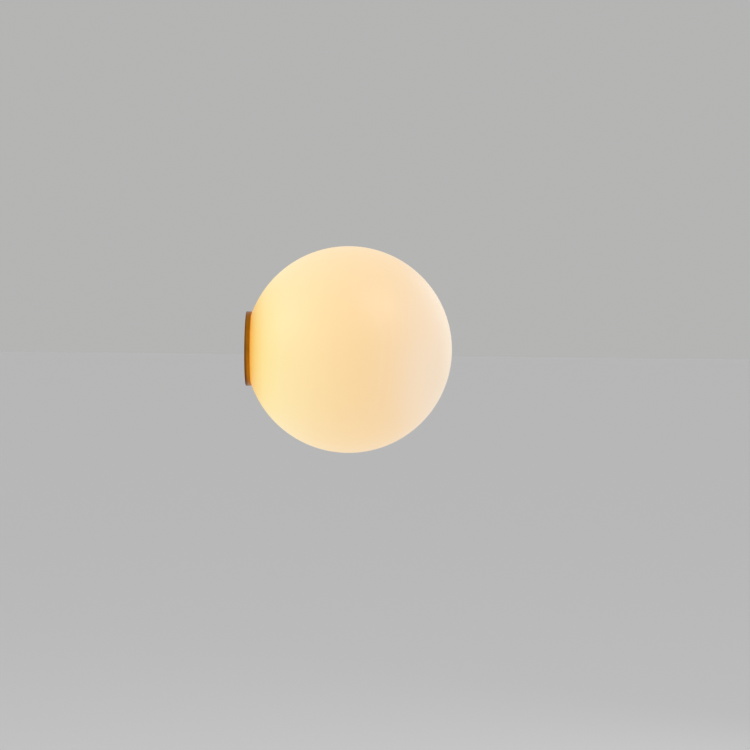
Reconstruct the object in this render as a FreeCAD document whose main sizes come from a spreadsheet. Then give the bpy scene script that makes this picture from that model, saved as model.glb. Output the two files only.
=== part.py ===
"""Globe wall sconce: an opal glass ball on a shallow spun brass base, held by a three-armed spring.

Everything is drawn as it stands on the wall: x to the right, y up and z out of the wall, from the
middle of the mounting plate's back. WALL turns that into the row frame, where the wall is the plane
y = 0, the ball stands out towards -Y and +Z is up. Lengths are millimetres.
"""
import FreeCAD, Part
import math
import os

import Sketcher

Vector = FreeCAD.Vector
OUT_DIR = "parts"
FULL_TURN = 360
SQRT3 = math.sqrt(3)
# The share of the shorter run beside it that a lead's bend takes.
BEND_SHARE = 0.45

# The driving dimensions, as they go into the sheet.
SIZES = {
    # opal glass ball
    "globe_radius": 100.0,
    "glass_wall": 2.5,
    "globe_centre": 99.0,
    "mouth_radius": 32.5,
    "lip_radius": 1.7,
    # spun brass base, a cup with a raised seat and boss
    "base_radius": 36.0,
    "base_depth": 5.0,
    "base_metal": 1.5,
    "base_edge": 0.5,
    "rim_width": 1.0,
    "seat_height": 3.5,
    "boss_radius": 30.6,
    "boss_height": 6.0,
    "boss_edge": 1.0,
    # silicone ring between glass and brass
    "gasket_inner": 31.1,
    "gasket_outer": 34.6,
    "gasket_thick": 0.9,
    # steel mounting plate
    "plate_radius": 33.0,
    "plate_thick": 1.5,
    "plate_window": 7.2,
    "wall_slot_offset": 21.0,
    "wall_slot_reach": 5.0,
    "wall_slot_radius": 2.2,
    # stand-offs on the plate and the screws that hold the base to them
    "standoff_offset": 24.0,
    "standoff_radius": 4.0,
    "standoff_shank": 3.0,
    "standoff_top": 4.5,
    "base_screw_radius": 2.0,
    "base_screw_head": 3.5,
    "base_screw_head_height": 2.3,
    "base_screw_tip": 0.8,
    "screw_slot_width": 0.9,
    "screw_slot_depth": 0.9,
    "thread_gap": 0.05,
    "hole_gap": 0.3,
    "washer_thick": 0.8,
    "base_washer_radius": 4.4,
    # hollow M10 nipple, its nuts and washer
    "nipple_radius": 5.0,
    "nipple_bore": 3.6,
    "nipple_back": 1.8,
    "nipple_front": 14.0,
    "bush_bore": 3.0,
    "bush_flange": 0.9,
    "bush_reach": 4.0,
    "nut_flats": 14.0,
    "back_nut_thick": 2.5,
    "front_nut_thick": 4.0,
    "nut_chamfer": 0.6,
    "nipple_washer_radius": 8.2,
    "nipple_washer_thick": 0.7,
    "washer_teeth": 12,
    "tooth_depth": 1.2,
    # three-armed globe spring
    "spring_thick": 0.7,
    "spring_width": 10.0,
    "spring_hub": 12.0,
    "spring_start": 9.0,
    "spring_arms": 3,
    "heel_out": 21.0,
    "heel_radius": 2.0,
    "hairpin_inner": 22.4,
    "hairpin_outer": 27.8,
    "hairpin_top": 25.0,
    "hairpin_radius": 2.5,
    "nose_out": 33.57,
    "nose_low": 6.64,
    "nose_radius": 1.95,
    "nose_end_out": 28.3,
    "nose_end_up": 7.4,
    # lampholder bracket and ceramic G9 lampholder
    "bracket_thick": 1.0,
    "bracket_width": 15.0,
    "bracket_leg": 8.0,
    "bracket_shoulder": 9.5,
    "bracket_top": 27.0,
    "bracket_bend": 1.5,
    "bracket_gap": 0.1,
    "holder_half_x": 7.0,
    "holder_half_y": 12.0,
    "holder_corner": 5.0,
    "holder_bottom": 17.0,
    "holder_top": 32.0,
    "holder_edge": 0.6,
    "key_half_x": 4.2,
    "key_half_y": 8.4,
    "key_corner": 3.0,
    "key_depth": 3.0,
    "pin_spacing": 9.0,
    "pin_slot_x": 2.2,
    "pin_slot_y": 5.4,
    "pin_slot_floor": 19.0,
    "contact_thick": 0.3,
    "contact_width": 3.0,
    "contact_face": 0.65,
    "contact_top": 28.5,
    "lead_hole_radius": 1.2,
    "lead_height": 20.5,
    "holder_screw_height": 24.0,
    "holder_screw_radius": 1.5,
    "holder_screw_head": 2.75,
    "holder_screw_head_height": 1.8,
    "holder_screw_length": 5.0,
    # G9 lamp
    "pin_thick": 1.0,
    "pin_width": 4.0,
    "pin_foot": 20.6,
    "pin_eye_width": 1.8,
    "pin_eye_low": 22.4,
    "pin_eye_high": 27.0,
    "lamp_key_gap": 0.4,
    "lamp_seat": 32.3,
    "lamp_collar_radius": 9.0,
    "lamp_collar_top": 41.0,
    "lamp_neck_radius": 7.2,
    "lamp_neck_top": 44.0,
    "lamp_cover_radius": 8.6,
    "lamp_cover_wall": 0.9,
    "lamp_tip": 80.0,
    "lamp_core_half": 4.2,
    "lamp_core_top": 72.0,
    "lamp_chip_half": 1.3,
    "lamp_chip_height": 2.6,
    "lamp_chip_thick": 0.5,
    "lamp_chip_pitch": 4.6,
    "lamp_chip_rows": 5,
    "lamp_chip_first": 50.0,
    # two-pole terminal block
    "block_half_x": 6.2,
    "block_top_y": -15.0,
    "block_bottom_y": -28.8,
    "block_height": 8.0,
    "pole_live_y": -18.2,
    "pole_neutral_y": -25.6,
    "pole_height": 11.0,
    "tube_hole": 2.15,
    "tube_outer": 2.1,
    "tube_bore": 1.5,
    "tube_half": 5.6,
    "tower_offset": 3.6,
    "tower_radius": 2.5,
    "tower_top": 17.0,
    "clamp_radius": 1.25,
    "clamp_tip": 12.0,
    "clamp_top": 16.2,
    "block_screw_radius": 1.0,
    "block_screw_head": 1.95,
    "block_screw_head_height": 1.5,
    "block_screw_tip": 3.4,
    # earth terminal
    "earth_x": -17.5,
    "earth_y": 8.5,
    "earth_screw_radius": 2.0,
    "earth_screw_head": 3.5,
    "earth_screw_head_height": 2.4,
    "earth_washer_radius": 4.5,
    "earth_washer_thick": 1.0,
    "earth_nut_flats": 7.0,
    "earth_nut_thick": 2.2,
    "earth_tip": 1.9,
    # insulated leads
    "lead_radius": 0.9,
    "lead_tuck": 1.0,
}

SHEET = "Sizes"
WALL = FreeCAD.Placement(Vector(), FreeCAD.Rotation(Vector(1, 0, 0), 90))
ARM_UP = FreeCAD.Placement(Vector(), FreeCAD.Rotation(Vector(0, 0, 1), 90))


class Size:
    """A dimension: its value now, and the sheet expression that drives it."""

    def __init__(self, value, text):
        self.value = value
        self.text = text

    def __add__(self, other):
        return joined(self, "+", other, self.value + value_of(other))

    def __radd__(self, other):
        return joined(other, "+", self, value_of(other) + self.value)

    def __sub__(self, other):
        return joined(self, "-", other, self.value - value_of(other))

    def __rsub__(self, other):
        return joined(other, "-", self, value_of(other) - self.value)

    def __mul__(self, other):
        return joined(self, "*", other, self.value * value_of(other))

    def __rmul__(self, other):
        return joined(other, "*", self, value_of(other) * self.value)

    def __truediv__(self, other):
        return joined(self, "/", other, self.value / value_of(other))

    def __neg__(self):
        return joined(-1, "*", self, -self.value)


def value_of(size):
    return size.value if isinstance(size, Size) else size


def text_of(size):
    return size.text if isinstance(size, Size) else repr(size)


def joined(left, sign, right, value):
    return Size(value, f"({text_of(left)} {sign} {text_of(right)})")


class Named:
    """The sheet's dimensions as attributes: Named.globe_radius is a Size."""

    def __init__(self, sizes):
        for alias, value in sizes.items():
            setattr(self, alias, Size(value, f"{SHEET}.{alias}"))


D = Named(SIZES)


def drive(thing, prop, size):
    """Binds a property or a constraint to the sheet."""
    if isinstance(size, Size):
        thing.setExpression(prop, size.text)
    else:
        setattr(thing, prop, size)


# ---------------------------------------------------------------- document, bodies and sketches


def new_document():
    doc = FreeCAD.newDocument("globe_wall_sconce")
    sheet = doc.addObject("Spreadsheet::Sheet", SHEET)
    for row, (alias, value) in enumerate(SIZES.items(), start=1):
        sheet.set(f"A{row}", alias)
        sheet.set(f"B{row}", str(value))
        sheet.setAlias(f"B{row}", alias)
    doc.recompute()
    return doc


def new_body(doc, label, placement=WALL):
    body = doc.addObject("PartDesign::Body", label)
    body.Label = label
    body.Placement = placement
    return body


def origin_plane(body, role):
    return next(f for f in body.Origin.OriginFeatures if f.Role == role)


def new_sketch(body, role, shift=(0, 0, 0)):
    """A sketch on one of the body's own planes, shifted in the plane and along its normal."""
    sketch = body.newObject("Sketcher::SketchObject", "Sketch")
    sketch.AttachmentSupport = [(origin_plane(body, role), "")]
    sketch.MapMode = "FlatFace"
    sketch.AttachmentOffset = FreeCAD.Placement(Vector(*map(value_of, shift)), FreeCAD.Rotation())
    for axis, size in zip("xyz", shift):
        if isinstance(size, Size):
            sketch.setExpression(f".AttachmentOffset.Base.{axis}", size.text)
    return sketch


def pin_point(sketch, geometry, end, point):
    """Holds one end of a geometry at a driven place."""
    for kind, axis, size in (("DistanceX", -2, point[0]), ("DistanceY", -1, point[1])):
        if value_of(size) == 0:
            sketch.addConstraint(Sketcher.Constraint("PointOnObject", geometry, end, axis))
            continue
        index = sketch.addConstraint(
            Sketcher.Constraint(kind, -1, 1, geometry, end, value_of(size))
        )
        if isinstance(size, Size):
            sketch.setExpression(f"Constraints[{index}]", size.text)


def pin_radius(sketch, geometry, size):
    index = sketch.addConstraint(Sketcher.Constraint("Radius", geometry, value_of(size)))
    if isinstance(size, Size):
        sketch.setExpression(f"Constraints[{index}]", size.text)


def flat_point(corner):
    return Vector(value_of(corner[0]), value_of(corner[1]), 0)


def tangent_points(before, corner, after, radius):
    """Where a round of this radius leaves the two straight runs, and its centre."""
    back = (before - corner).normalize()
    ahead = (after - corner).normalize()
    half = back.getAngle(ahead) / 2
    reach = radius / math.tan(half)
    centre = corner + (back + ahead).normalize() * (radius / math.sin(half))
    return corner + back * reach, corner + ahead * reach, centre


def draw_arc(sketch, start, end, centre, radius):
    """Adds the short arc from start to end. Returns its index and which of its ends is the start."""
    first = math.atan2(start.y - centre.y, start.x - centre.x)
    last = math.atan2(end.y - centre.y, end.x - centre.x)
    sweep = (last - first) % math.tau
    circle = Part.Circle(centre, Vector(0, 0, 1), radius)
    if sweep <= math.pi:
        return sketch.addGeometry(Part.ArcOfCircle(circle, first, first + sweep), False), 1
    return sketch.addGeometry(Part.ArcOfCircle(circle, last, last + math.tau - sweep), False), 2


def draw_chain(sketch, corners, closed=True):
    """Straight runs between driven corners. A corner with a third value is rounded to that radius."""
    count = len(corners)
    points = [flat_point(c) for c in corners]
    inner = range(count) if closed else range(1, count - 1)
    rounds = {}
    for i in inner:
        if len(corners[i]) > 2:
            before, after = points[i - 1], points[(i + 1) % count]
            rounds[i] = tangent_points(before, points[i], after, value_of(corners[i][2]))
    lines = []
    for i in range(count if closed else count - 1):
        j = (i + 1) % count
        start = rounds[i][1] if i in rounds else points[i]
        end = rounds[j][0] if j in rounds else points[j]
        lines.append(sketch.addGeometry(Part.LineSegment(start, end), False))
    for i in inner:
        incoming, outgoing = lines[i - 1], lines[i % len(lines)]
        if i not in rounds:
            sketch.addConstraint(Sketcher.Constraint("Coincident", incoming, 2, outgoing, 1))
            pin_point(sketch, outgoing, 1, corners[i])
            continue
        start, end, centre = rounds[i]
        arc, first = draw_arc(sketch, start, end, centre, value_of(corners[i][2]))
        sketch.addConstraint(Sketcher.Constraint("Tangent", incoming, 2, arc, first))
        sketch.addConstraint(Sketcher.Constraint("Tangent", arc, 3 - first, outgoing, 1))
        pin_radius(sketch, arc, corners[i][2])
        corner = sketch.addGeometry(Part.Point(points[i]), True)
        pin_point(sketch, corner, 1, corners[i])
        sketch.addConstraint(Sketcher.Constraint("PointOnObject", corner, 1, incoming))
        sketch.addConstraint(Sketcher.Constraint("PointOnObject", corner, 1, outgoing))
    if not closed:
        pin_point(sketch, lines[0], 1, corners[0])
        pin_point(sketch, lines[-1], 2, corners[-1])
    return sketch


def draw_circle(sketch, x, y, radius):
    circle = Part.Circle(Vector(value_of(x), value_of(y), 0), Vector(0, 0, 1), value_of(radius))
    index = sketch.addGeometry(circle, False)
    pin_point(sketch, index, 3, (x, y))
    pin_radius(sketch, index, radius)


def draw_upright_slot(sketch, y, reach, radius):
    """A slot on the sketch's vertical axis, from y - reach to y + reach."""
    straight = reach - radius
    ends = []
    for sign, first, last in ((1, 0, math.pi), (-1, math.pi, math.tau)):
        centre = Vector(0, value_of(y) + sign * value_of(straight), 0)
        circle = Part.Circle(centre, Vector(0, 0, 1), value_of(radius))
        arc = sketch.addGeometry(Part.ArcOfCircle(circle, first, last), False)
        pin_point(sketch, arc, 3, (0, y + sign * straight))
        ends.append(arc)
    top, bottom = ends
    for a, a_end, b, b_end in ((top, 2, bottom, 1), (bottom, 2, top, 1)):
        start, end = sketch.getPoint(a, a_end), sketch.getPoint(b, b_end)
        side = sketch.addGeometry(Part.LineSegment(start, end), False)
        sketch.addConstraint(Sketcher.Constraint("Tangent", a, a_end, side, 1))
        sketch.addConstraint(Sketcher.Constraint("Tangent", side, 2, b, b_end))
    pin_radius(sketch, top, radius)


def rectangle(left, bottom, right, top, corner=None):
    """The four corners of an upright rectangle, rounded if a corner radius is given."""
    extra = () if corner is None else (corner,)
    return [(x, y) + extra for x, y in ((left, bottom), (right, bottom), (right, top), (left, top))]


def hexagon(flats):
    """The corners of a hexagon whose flats are that far apart."""
    long, short, half = flats / SQRT3, flats / (2 * SQRT3), flats / 2
    return [(long, 0), (short, half), (-short, half), (-long, 0), (-short, -half), (short, -half)]


# ---------------------------------------------------------------- features


def feature(body, kind, sketch, **settings):
    made = body.newObject(f"PartDesign::{kind}", kind)
    made.Profile = (sketch, [""])
    for prop, size in settings.items():
        drive(made, prop, size)
    sketch.Visibility = False
    return made


def turn(body, corners, shift=(0, 0, 0), role="XZ_Plane", axis="V_Axis", kind="Revolution"):
    """A turned form or groove: a closed profile, radius by height, spun about the sketch's axis."""
    sketch = draw_chain(new_sketch(body, role, shift), corners)
    made = feature(body, kind, sketch, Angle=FULL_TURN)
    made.ReferenceAxis = (sketch, [axis])
    return made


def pad(body, sketch, length, both_ways=False):
    made = feature(body, "Pad", sketch, Length=length)
    made.Midplane = both_ways
    return made


def cut_through(body, sketch):
    """Cuts the sketch's outline both ways through all of the body."""
    made = feature(body, "Pocket", sketch)
    made.Type = "ThroughAll"
    made.Midplane = True
    return made


def cut_down(body, sketch, depth):
    """Cuts from the sketch's plane back towards the wall."""
    return feature(body, "Pocket", sketch, Length=depth)


def around(body, features, count, role="Z_Axis"):
    """Repeats features evenly about one of the body's axes."""
    pattern = body.newObject("PartDesign::PolarPattern", "PolarPattern")
    pattern.Originals = features
    pattern.Axis = (origin_plane(body, role), [""])
    pattern.Angle = FULL_TURN
    drive(pattern, "Occurrences", count)
    body.Tip = pattern
    return pattern


def screw_slot(body, top, length, shift_x=0, shift_y=0):
    """A straight driver slot across a screw head whose top is at that height."""
    half = D.screw_slot_width / 2
    sketch = new_sketch(body, "XY_Plane", (0, 0, top))
    draw_chain(
        sketch,
        rectangle(shift_x - length, shift_y - half, shift_x + length, shift_y + half),
    )
    return cut_down(body, sketch, D.screw_slot_depth)


def pan_screw(body, shank, head, head_height, tip, seat, shift=(0, 0, 0)):
    """A pan-head screw along z: its shank from tip to seat and its head above the seat."""
    corners = [
        (0, tip),
        (shank - D.hole_gap, tip),
        (shank, tip + D.hole_gap),
        (shank, seat),
        (head, seat),
        (head, seat + head_height, D.nut_chamfer),
        (0, seat + head_height),
    ]
    return turn(body, corners, shift)


# ---------------------------------------------------------------- glass ball and its seat


def opal_globe(doc):
    """The blown ball, cut off at its mouth and finished with a fire-polished bead."""
    body = new_body(doc, "opal_globe")
    sketch = new_sketch(body, "XZ_Plane")
    centre = Vector(0, SIZES["globe_centre"], 0)
    mouth = SIZES["mouth_radius"]
    shells = []
    for radius in (D.globe_radius, D.globe_radius - D.glass_wall):
        drop = -math.acos(mouth / radius.value)
        circle = Part.Circle(centre, Vector(0, 0, 1), radius.value)
        arc = sketch.addGeometry(Part.ArcOfCircle(circle, drop, math.pi / 2), False)
        pin_point(sketch, arc, 3, (0, D.globe_centre))
        pin_radius(sketch, arc, radius)
        sketch.addConstraint(Sketcher.Constraint("PointOnObject", arc, 2, -2))
        index = sketch.addConstraint(Sketcher.Constraint("DistanceX", -1, 1, arc, 1, mouth))
        sketch.setExpression(f"Constraints[{index}]", D.mouth_radius.text)
        shells.append(arc)
    outer, inner = shells
    pole = Part.LineSegment(sketch.getPoint(outer, 2), sketch.getPoint(inner, 2))
    pole = sketch.addGeometry(pole, False)
    sketch.addConstraint(Sketcher.Constraint("Coincident", outer, 2, pole, 1))
    sketch.addConstraint(Sketcher.Constraint("Coincident", inner, 2, pole, 2))
    low, high = sketch.getPoint(outer, 1), sketch.getPoint(inner, 1)
    half_chord = (high.y - low.y) / 2
    bead = SIZES["lip_radius"]
    middle = Vector(mouth + math.sqrt(bead**2 - half_chord**2), (high.y + low.y) / 2, 0)
    lip, first = draw_arc(sketch, high, low, middle, bead)
    sketch.addConstraint(Sketcher.Constraint("Coincident", inner, 1, lip, first))
    sketch.addConstraint(Sketcher.Constraint("Coincident", outer, 1, lip, 3 - first))
    pin_radius(sketch, lip, D.lip_radius)
    made = feature(body, "Revolution", sketch, Angle=FULL_TURN)
    made.ReferenceAxis = (sketch, ["V_Axis"])
    return body


def globe_gasket(doc):
    """A flat silicone ring on the base's seat, which the glass lip presses on."""
    body = new_body(doc, "globe_gasket")
    floor, top = D.seat_height, D.seat_height + D.gasket_thick
    turn(body, rectangle(D.gasket_inner, floor, D.gasket_outer, top))
    return body


def brass_base(doc):
    """The spun cup: a rim, a sunk seat for the glass and a raised boss that centres its mouth."""
    body = new_body(doc, "brass_base")
    metal = D.base_metal
    land = D.base_radius - D.rim_width
    corners = [
        (D.base_radius, 0),
        (D.base_radius, D.base_depth, D.base_edge),
        (land, D.base_depth),
        (land, D.seat_height),
        (D.boss_radius, D.seat_height),
        (D.boss_radius, D.boss_height, D.boss_edge),
        (0, D.boss_height),
        (0, D.boss_height - metal),
        (D.boss_radius - metal, D.boss_height - metal),
        (D.boss_radius - metal, D.seat_height - metal),
        (D.base_radius - metal, D.seat_height - metal),
        (D.base_radius - metal, 0),
    ]
    turn(body, corners)
    holes = new_sketch(body, "XY_Plane")
    draw_circle(holes, 0, 0, D.nipple_radius + D.hole_gap)
    for side in (1, -1):
        draw_circle(holes, side * D.standoff_offset, 0, D.base_screw_radius + D.hole_gap)
    middle_y = (D.pole_live_y + D.pole_neutral_y) / 2
    draw_circle(holes, 0, middle_y, D.block_screw_radius + D.thread_gap)
    draw_circle(holes, D.earth_x, D.earth_y, D.earth_screw_radius + D.hole_gap)
    cut_through(body, holes)
    return body


# ---------------------------------------------------------------- mounting plate


def wall_plate(doc):
    """The steel plate that is screwed to the wall, with two upright slots and a cable window."""
    body = new_body(doc, "wall_plate")
    disc = new_sketch(body, "XY_Plane")
    draw_circle(disc, 0, 0, D.plate_radius)
    pad(body, disc, D.plate_thick)
    holes = new_sketch(body, "XY_Plane")
    draw_circle(holes, 0, 0, D.plate_window)
    for side in (1, -1):
        draw_upright_slot(holes, side * D.wall_slot_offset, D.wall_slot_reach, D.wall_slot_radius)
        draw_circle(holes, side * D.standoff_offset, 0, D.standoff_shank)
    cut_through(body, holes)
    return body


def plate_standoffs(doc):
    """Two tapped stand-offs swaged into the plate, which the base is screwed down onto."""
    body = new_body(doc, "plate_standoffs")
    bore = D.base_screw_radius + D.thread_gap
    corners = [
        (bore, 0),
        (D.standoff_shank, 0),
        (D.standoff_shank, D.plate_thick),
        (D.standoff_radius, D.plate_thick),
        (D.standoff_radius, D.standoff_top),
        (bore, D.standoff_top),
    ]
    one = turn(body, corners, (D.standoff_offset, 0, 0))
    around(body, [one], 2)
    return body


def base_washers(doc):
    """The washers under the two screws that hold the base."""
    body = new_body(doc, "base_washers")
    floor, top = D.boss_height, D.boss_height + D.washer_thick
    bore = D.base_screw_radius + D.hole_gap
    corners = rectangle(bore, floor, D.base_washer_radius, top)
    around(body, [turn(body, corners, (D.standoff_offset, 0, 0))], 2)
    return body


def base_screws(doc):
    """The two pan-head screws that hold the base to the stand-offs."""
    body = new_body(doc, "base_screws")
    seat = D.boss_height + D.washer_thick
    head = D.base_screw_head
    height = D.base_screw_head_height
    shift = (D.standoff_offset, 0, 0)
    one = pan_screw(body, D.base_screw_radius, head, height, D.base_screw_tip, seat, shift)
    slot = screw_slot(body, seat + height, head, D.standoff_offset)
    around(body, [one, slot], 2)
    return body


# ---------------------------------------------------------------- nipple, nuts and globe spring


def hollow_nipple(doc):
    """The hollow stem that clamps the stack together and lets the supply cable in."""
    body = new_body(doc, "hollow_nipple")
    chamfer = D.nut_chamfer
    corners = [
        (D.nipple_bore, D.nipple_back),
        (D.nipple_radius - chamfer, D.nipple_back),
        (D.nipple_radius, D.nipple_back + chamfer),
        (D.nipple_radius, D.nipple_front - chamfer),
        (D.nipple_radius - chamfer, D.nipple_front),
        (D.nipple_bore, D.nipple_front),
    ]
    turn(body, corners)
    return body


def cable_bush(doc):
    """The nylon bush in the back end of the nipple, which keeps its edge off the cable."""
    body = new_body(doc, "cable_bush")
    sleeve = D.nipple_bore - D.thread_gap
    floor = D.nipple_back - D.bush_flange
    corners = [
        (D.bush_bore, floor),
        (D.nipple_radius, floor, D.bush_flange / 3),
        (D.nipple_radius, D.nipple_back),
        (sleeve, D.nipple_back),
        (sleeve, D.nipple_back + D.bush_reach),
        (D.bush_bore, D.nipple_back + D.bush_reach),
    ]
    turn(body, corners)
    return body


def hex_nut(doc, label, flats, bore, bottom, thick, shift=(0, 0)):
    """A hexagon nut whose corners are chamfered on both faces."""
    body = new_body(doc, label)
    blank = new_sketch(body, "XY_Plane", (shift[0], shift[1], bottom))
    draw_chain(blank, hexagon(flats))
    draw_circle(blank, 0, 0, bore)
    pad(body, blank, thick)
    corner, rise = flats / SQRT3, D.nut_chamfer
    for edge, sign in ((bottom, 1), (bottom + thick, -1)):
        ring = [(flats / 2, edge), (corner + rise, edge), (corner + rise, edge + sign * rise)]
        turn(body, ring, (shift[0], 0, -1 * shift[1]), kind="Groove")
    return body


def nipple_washer(doc):
    """A toothed lock washer: a ring with notches cut round its rim."""
    body = new_body(doc, "nipple_washer")
    floor = D.boss_height + D.spring_thick + D.bracket_thick
    ring = new_sketch(body, "XY_Plane", (0, 0, floor))
    draw_circle(ring, 0, 0, D.nipple_washer_radius)
    draw_circle(ring, 0, 0, D.nipple_radius + D.hole_gap)
    pad(body, ring, D.nipple_washer_thick)
    notch = new_sketch(body, "XY_Plane")
    half = D.tooth_depth / 2
    inner = D.nipple_washer_radius - D.tooth_depth
    draw_chain(notch, rectangle(inner, -half, D.nipple_washer_radius + half, half))
    around(body, [cut_through(body, notch)], D.washer_teeth)
    return body


def globe_spring(doc):
    """The three-armed holder: a flat hub, and arms that double back into noses behind the lip."""
    body = new_body(doc, "globe_spring", WALL.multiply(ARM_UP))
    half = D.spring_thick / 2
    mid = D.boss_height + half
    hub = new_sketch(body, "XY_Plane", (0, 0, D.boss_height))
    draw_circle(hub, 0, 0, D.spring_hub)
    draw_circle(hub, 0, 0, D.nipple_radius + D.hole_gap)
    pad(body, hub, D.spring_thick)
    path = new_sketch(body, "XZ_Plane")
    corners = [
        (D.spring_start, mid),
        (D.heel_out, mid, D.heel_radius),
        (D.hairpin_inner, D.hairpin_top, D.hairpin_radius),
        (D.hairpin_outer, D.hairpin_top, D.hairpin_radius),
        (D.nose_out, D.nose_low, D.nose_radius),
        (D.nose_end_out, D.nose_end_up),
    ]
    draw_chain(path, corners, closed=False)
    strip = new_sketch(body, "YZ_Plane", (0, 0, D.spring_start))
    reach = D.spring_width / 2
    draw_chain(strip, rectangle(-reach, mid - half, reach, mid + half))
    arm = body.newObject("PartDesign::AdditivePipe", "Arm")
    arm.Profile = (strip, [""])
    arm.Spine = (path, [""])
    around(body, [arm], D.spring_arms)
    return body


# ---------------------------------------------------------------- lampholder


def holder_bracket(doc):
    """A steel stirrup: a base plate on the nipple and two narrower legs beside the ceramic."""
    body = new_body(doc, "holder_bracket")
    floor = D.boss_height + D.spring_thick
    inner = D.holder_half_y + D.bracket_gap
    outer = inner + D.bracket_thick
    sketch = new_sketch(body, "YZ_Plane")
    corners = [
        (outer, D.bracket_top),
        (inner, D.bracket_top),
        (inner, floor + D.bracket_thick, D.bracket_bend - D.bracket_thick),
        (-inner, floor + D.bracket_thick, D.bracket_bend - D.bracket_thick),
        (-inner, D.bracket_top),
        (-outer, D.bracket_top),
        (-outer, floor, D.bracket_bend),
        (outer, floor, D.bracket_bend),
    ]
    draw_chain(sketch, corners)
    pad(body, sketch, D.bracket_width, both_ways=True)
    side = new_sketch(body, "XZ_Plane")
    for sign in (1, -1):
        near, far = sign * D.bracket_leg / 2, sign * D.bracket_width
        low, high = sorted((near, far), key=value_of)
        draw_chain(side, rectangle(low, D.bracket_shoulder, high, D.bracket_top + outer))
    cut_through(body, side)
    hole = new_sketch(body, "XY_Plane", (0, 0, floor + 2 * D.bracket_thick))
    draw_circle(hole, 0, 0, D.nipple_radius + D.hole_gap)
    cut_down(body, hole, 3 * D.bracket_thick)
    screws = new_sketch(body, "XZ_Plane")
    draw_circle(screws, 0, D.holder_screw_height, D.holder_screw_radius + D.hole_gap)
    cut_through(body, screws)
    return body


def lampholder_body(doc):
    """The ceramic G9 lampholder: a rounded block with a key recess, pin slots and lead holes."""
    body = new_body(doc, "lampholder_body")
    block = new_sketch(body, "XY_Plane", (0, 0, D.holder_bottom))
    draw_chain(
        block,
        rectangle(
            -D.holder_half_x, -D.holder_half_y, D.holder_half_x, D.holder_half_y, D.holder_corner
        ),
    )
    pad(body, block, D.holder_top - D.holder_bottom)
    key = new_sketch(body, "XY_Plane", (0, 0, D.holder_top))
    draw_chain(key, rectangle(-D.key_half_x, -D.key_half_y, D.key_half_x, D.key_half_y, D.key_corner))
    cut_down(body, key, D.key_depth)
    slots = new_sketch(body, "XY_Plane", (0, 0, D.holder_top))
    half_x, half_y = D.pin_slot_x / 2, D.pin_slot_y / 2
    for side in (1, -1):
        middle = side * D.pin_spacing / 2
        draw_chain(slots, rectangle(-half_x, middle - half_y, half_x, middle + half_y))
    cut_down(body, slots, D.holder_top - D.pin_slot_floor)
    leads = new_sketch(body, "YZ_Plane", (0, 0, D.holder_half_x))
    for side in (1, -1):
        draw_circle(leads, side * D.pin_spacing / 2, D.lead_height, D.lead_hole_radius)
    cut_down(body, leads, D.holder_half_x)
    depth = D.holder_screw_length
    bore = D.holder_screw_radius + D.thread_gap
    for side in (1, -1):
        near, far = side * (D.holder_half_y - depth), side * (D.holder_half_y + D.hole_gap)
        low, high = sorted((near, far), key=value_of)
        turn(
            body,
            rectangle(low, 0, high, bore),
            (0, D.holder_screw_height, 0),
            "YZ_Plane",
            "H_Axis",
            "Groove",
        )
    return body


def lampholder_contacts(doc):
    """A spring contact beside each pin, standing in its slot."""
    body = new_body(doc, "lampholder_contacts")
    foot = D.pin_slot_floor
    face, back = D.contact_face, D.contact_face + D.contact_thick
    sketch = new_sketch(body, "XZ_Plane", (0, 0, -1 * D.pin_spacing / 2))
    draw_chain(sketch, rectangle(face, foot, back, D.contact_top))
    one = pad(body, sketch, D.contact_width, both_ways=True)
    around(body, [one], 2)
    return body


def lampholder_screws(doc):
    """Two short screws through the bracket's legs into the ceramic."""
    body = new_body(doc, "lampholder_screws")
    outer = D.holder_half_y + D.bracket_gap + D.bracket_thick
    tip = D.holder_half_y - D.holder_screw_length + D.hole_gap
    head_top = outer + D.holder_screw_head_height
    corners = [
        (tip, 0),
        (tip, D.holder_screw_radius),
        (outer, D.holder_screw_radius),
        (outer, D.holder_screw_head),
        (head_top, D.holder_screw_head, D.nut_chamfer),
        (head_top, 0),
    ]
    one = turn(body, corners, (0, D.holder_screw_height, 0), "YZ_Plane", "H_Axis")
    slot = new_sketch(body, "YZ_Plane")
    half = D.screw_slot_width / 2
    low, high = D.holder_screw_height - half, D.holder_screw_height + half
    draw_chain(slot, rectangle(head_top - D.screw_slot_depth, low, head_top + half, high))
    around(body, [one, cut_through(body, slot)], 2)
    return body


# ---------------------------------------------------------------- lamp


def lamp_base(doc):
    """The lamp's moulded collar, with the key that drops into the lampholder's recess."""
    body = new_body(doc, "lamp_base")
    corners = [
        (0, D.lamp_seat),
        (D.lamp_collar_radius - D.holder_edge, D.lamp_seat),
        (D.lamp_collar_radius, D.lamp_seat + D.holder_edge),
        (D.lamp_collar_radius, D.lamp_collar_top, D.holder_edge),
        (D.lamp_neck_radius, D.lamp_collar_top),
        (D.lamp_neck_radius, D.lamp_neck_top),
        (0, D.lamp_neck_top),
    ]
    turn(body, corners)
    foot = D.holder_top - D.key_depth + D.lamp_key_gap
    key = new_sketch(body, "XY_Plane", (0, 0, foot))
    half_x, half_y = D.key_half_x - D.lamp_key_gap, D.key_half_y - D.lamp_key_gap
    draw_chain(key, rectangle(-half_x, -half_y, half_x, half_y, D.key_corner - D.lamp_key_gap))
    pad(body, key, D.lamp_seat - foot + D.holder_edge)
    return body


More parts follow.
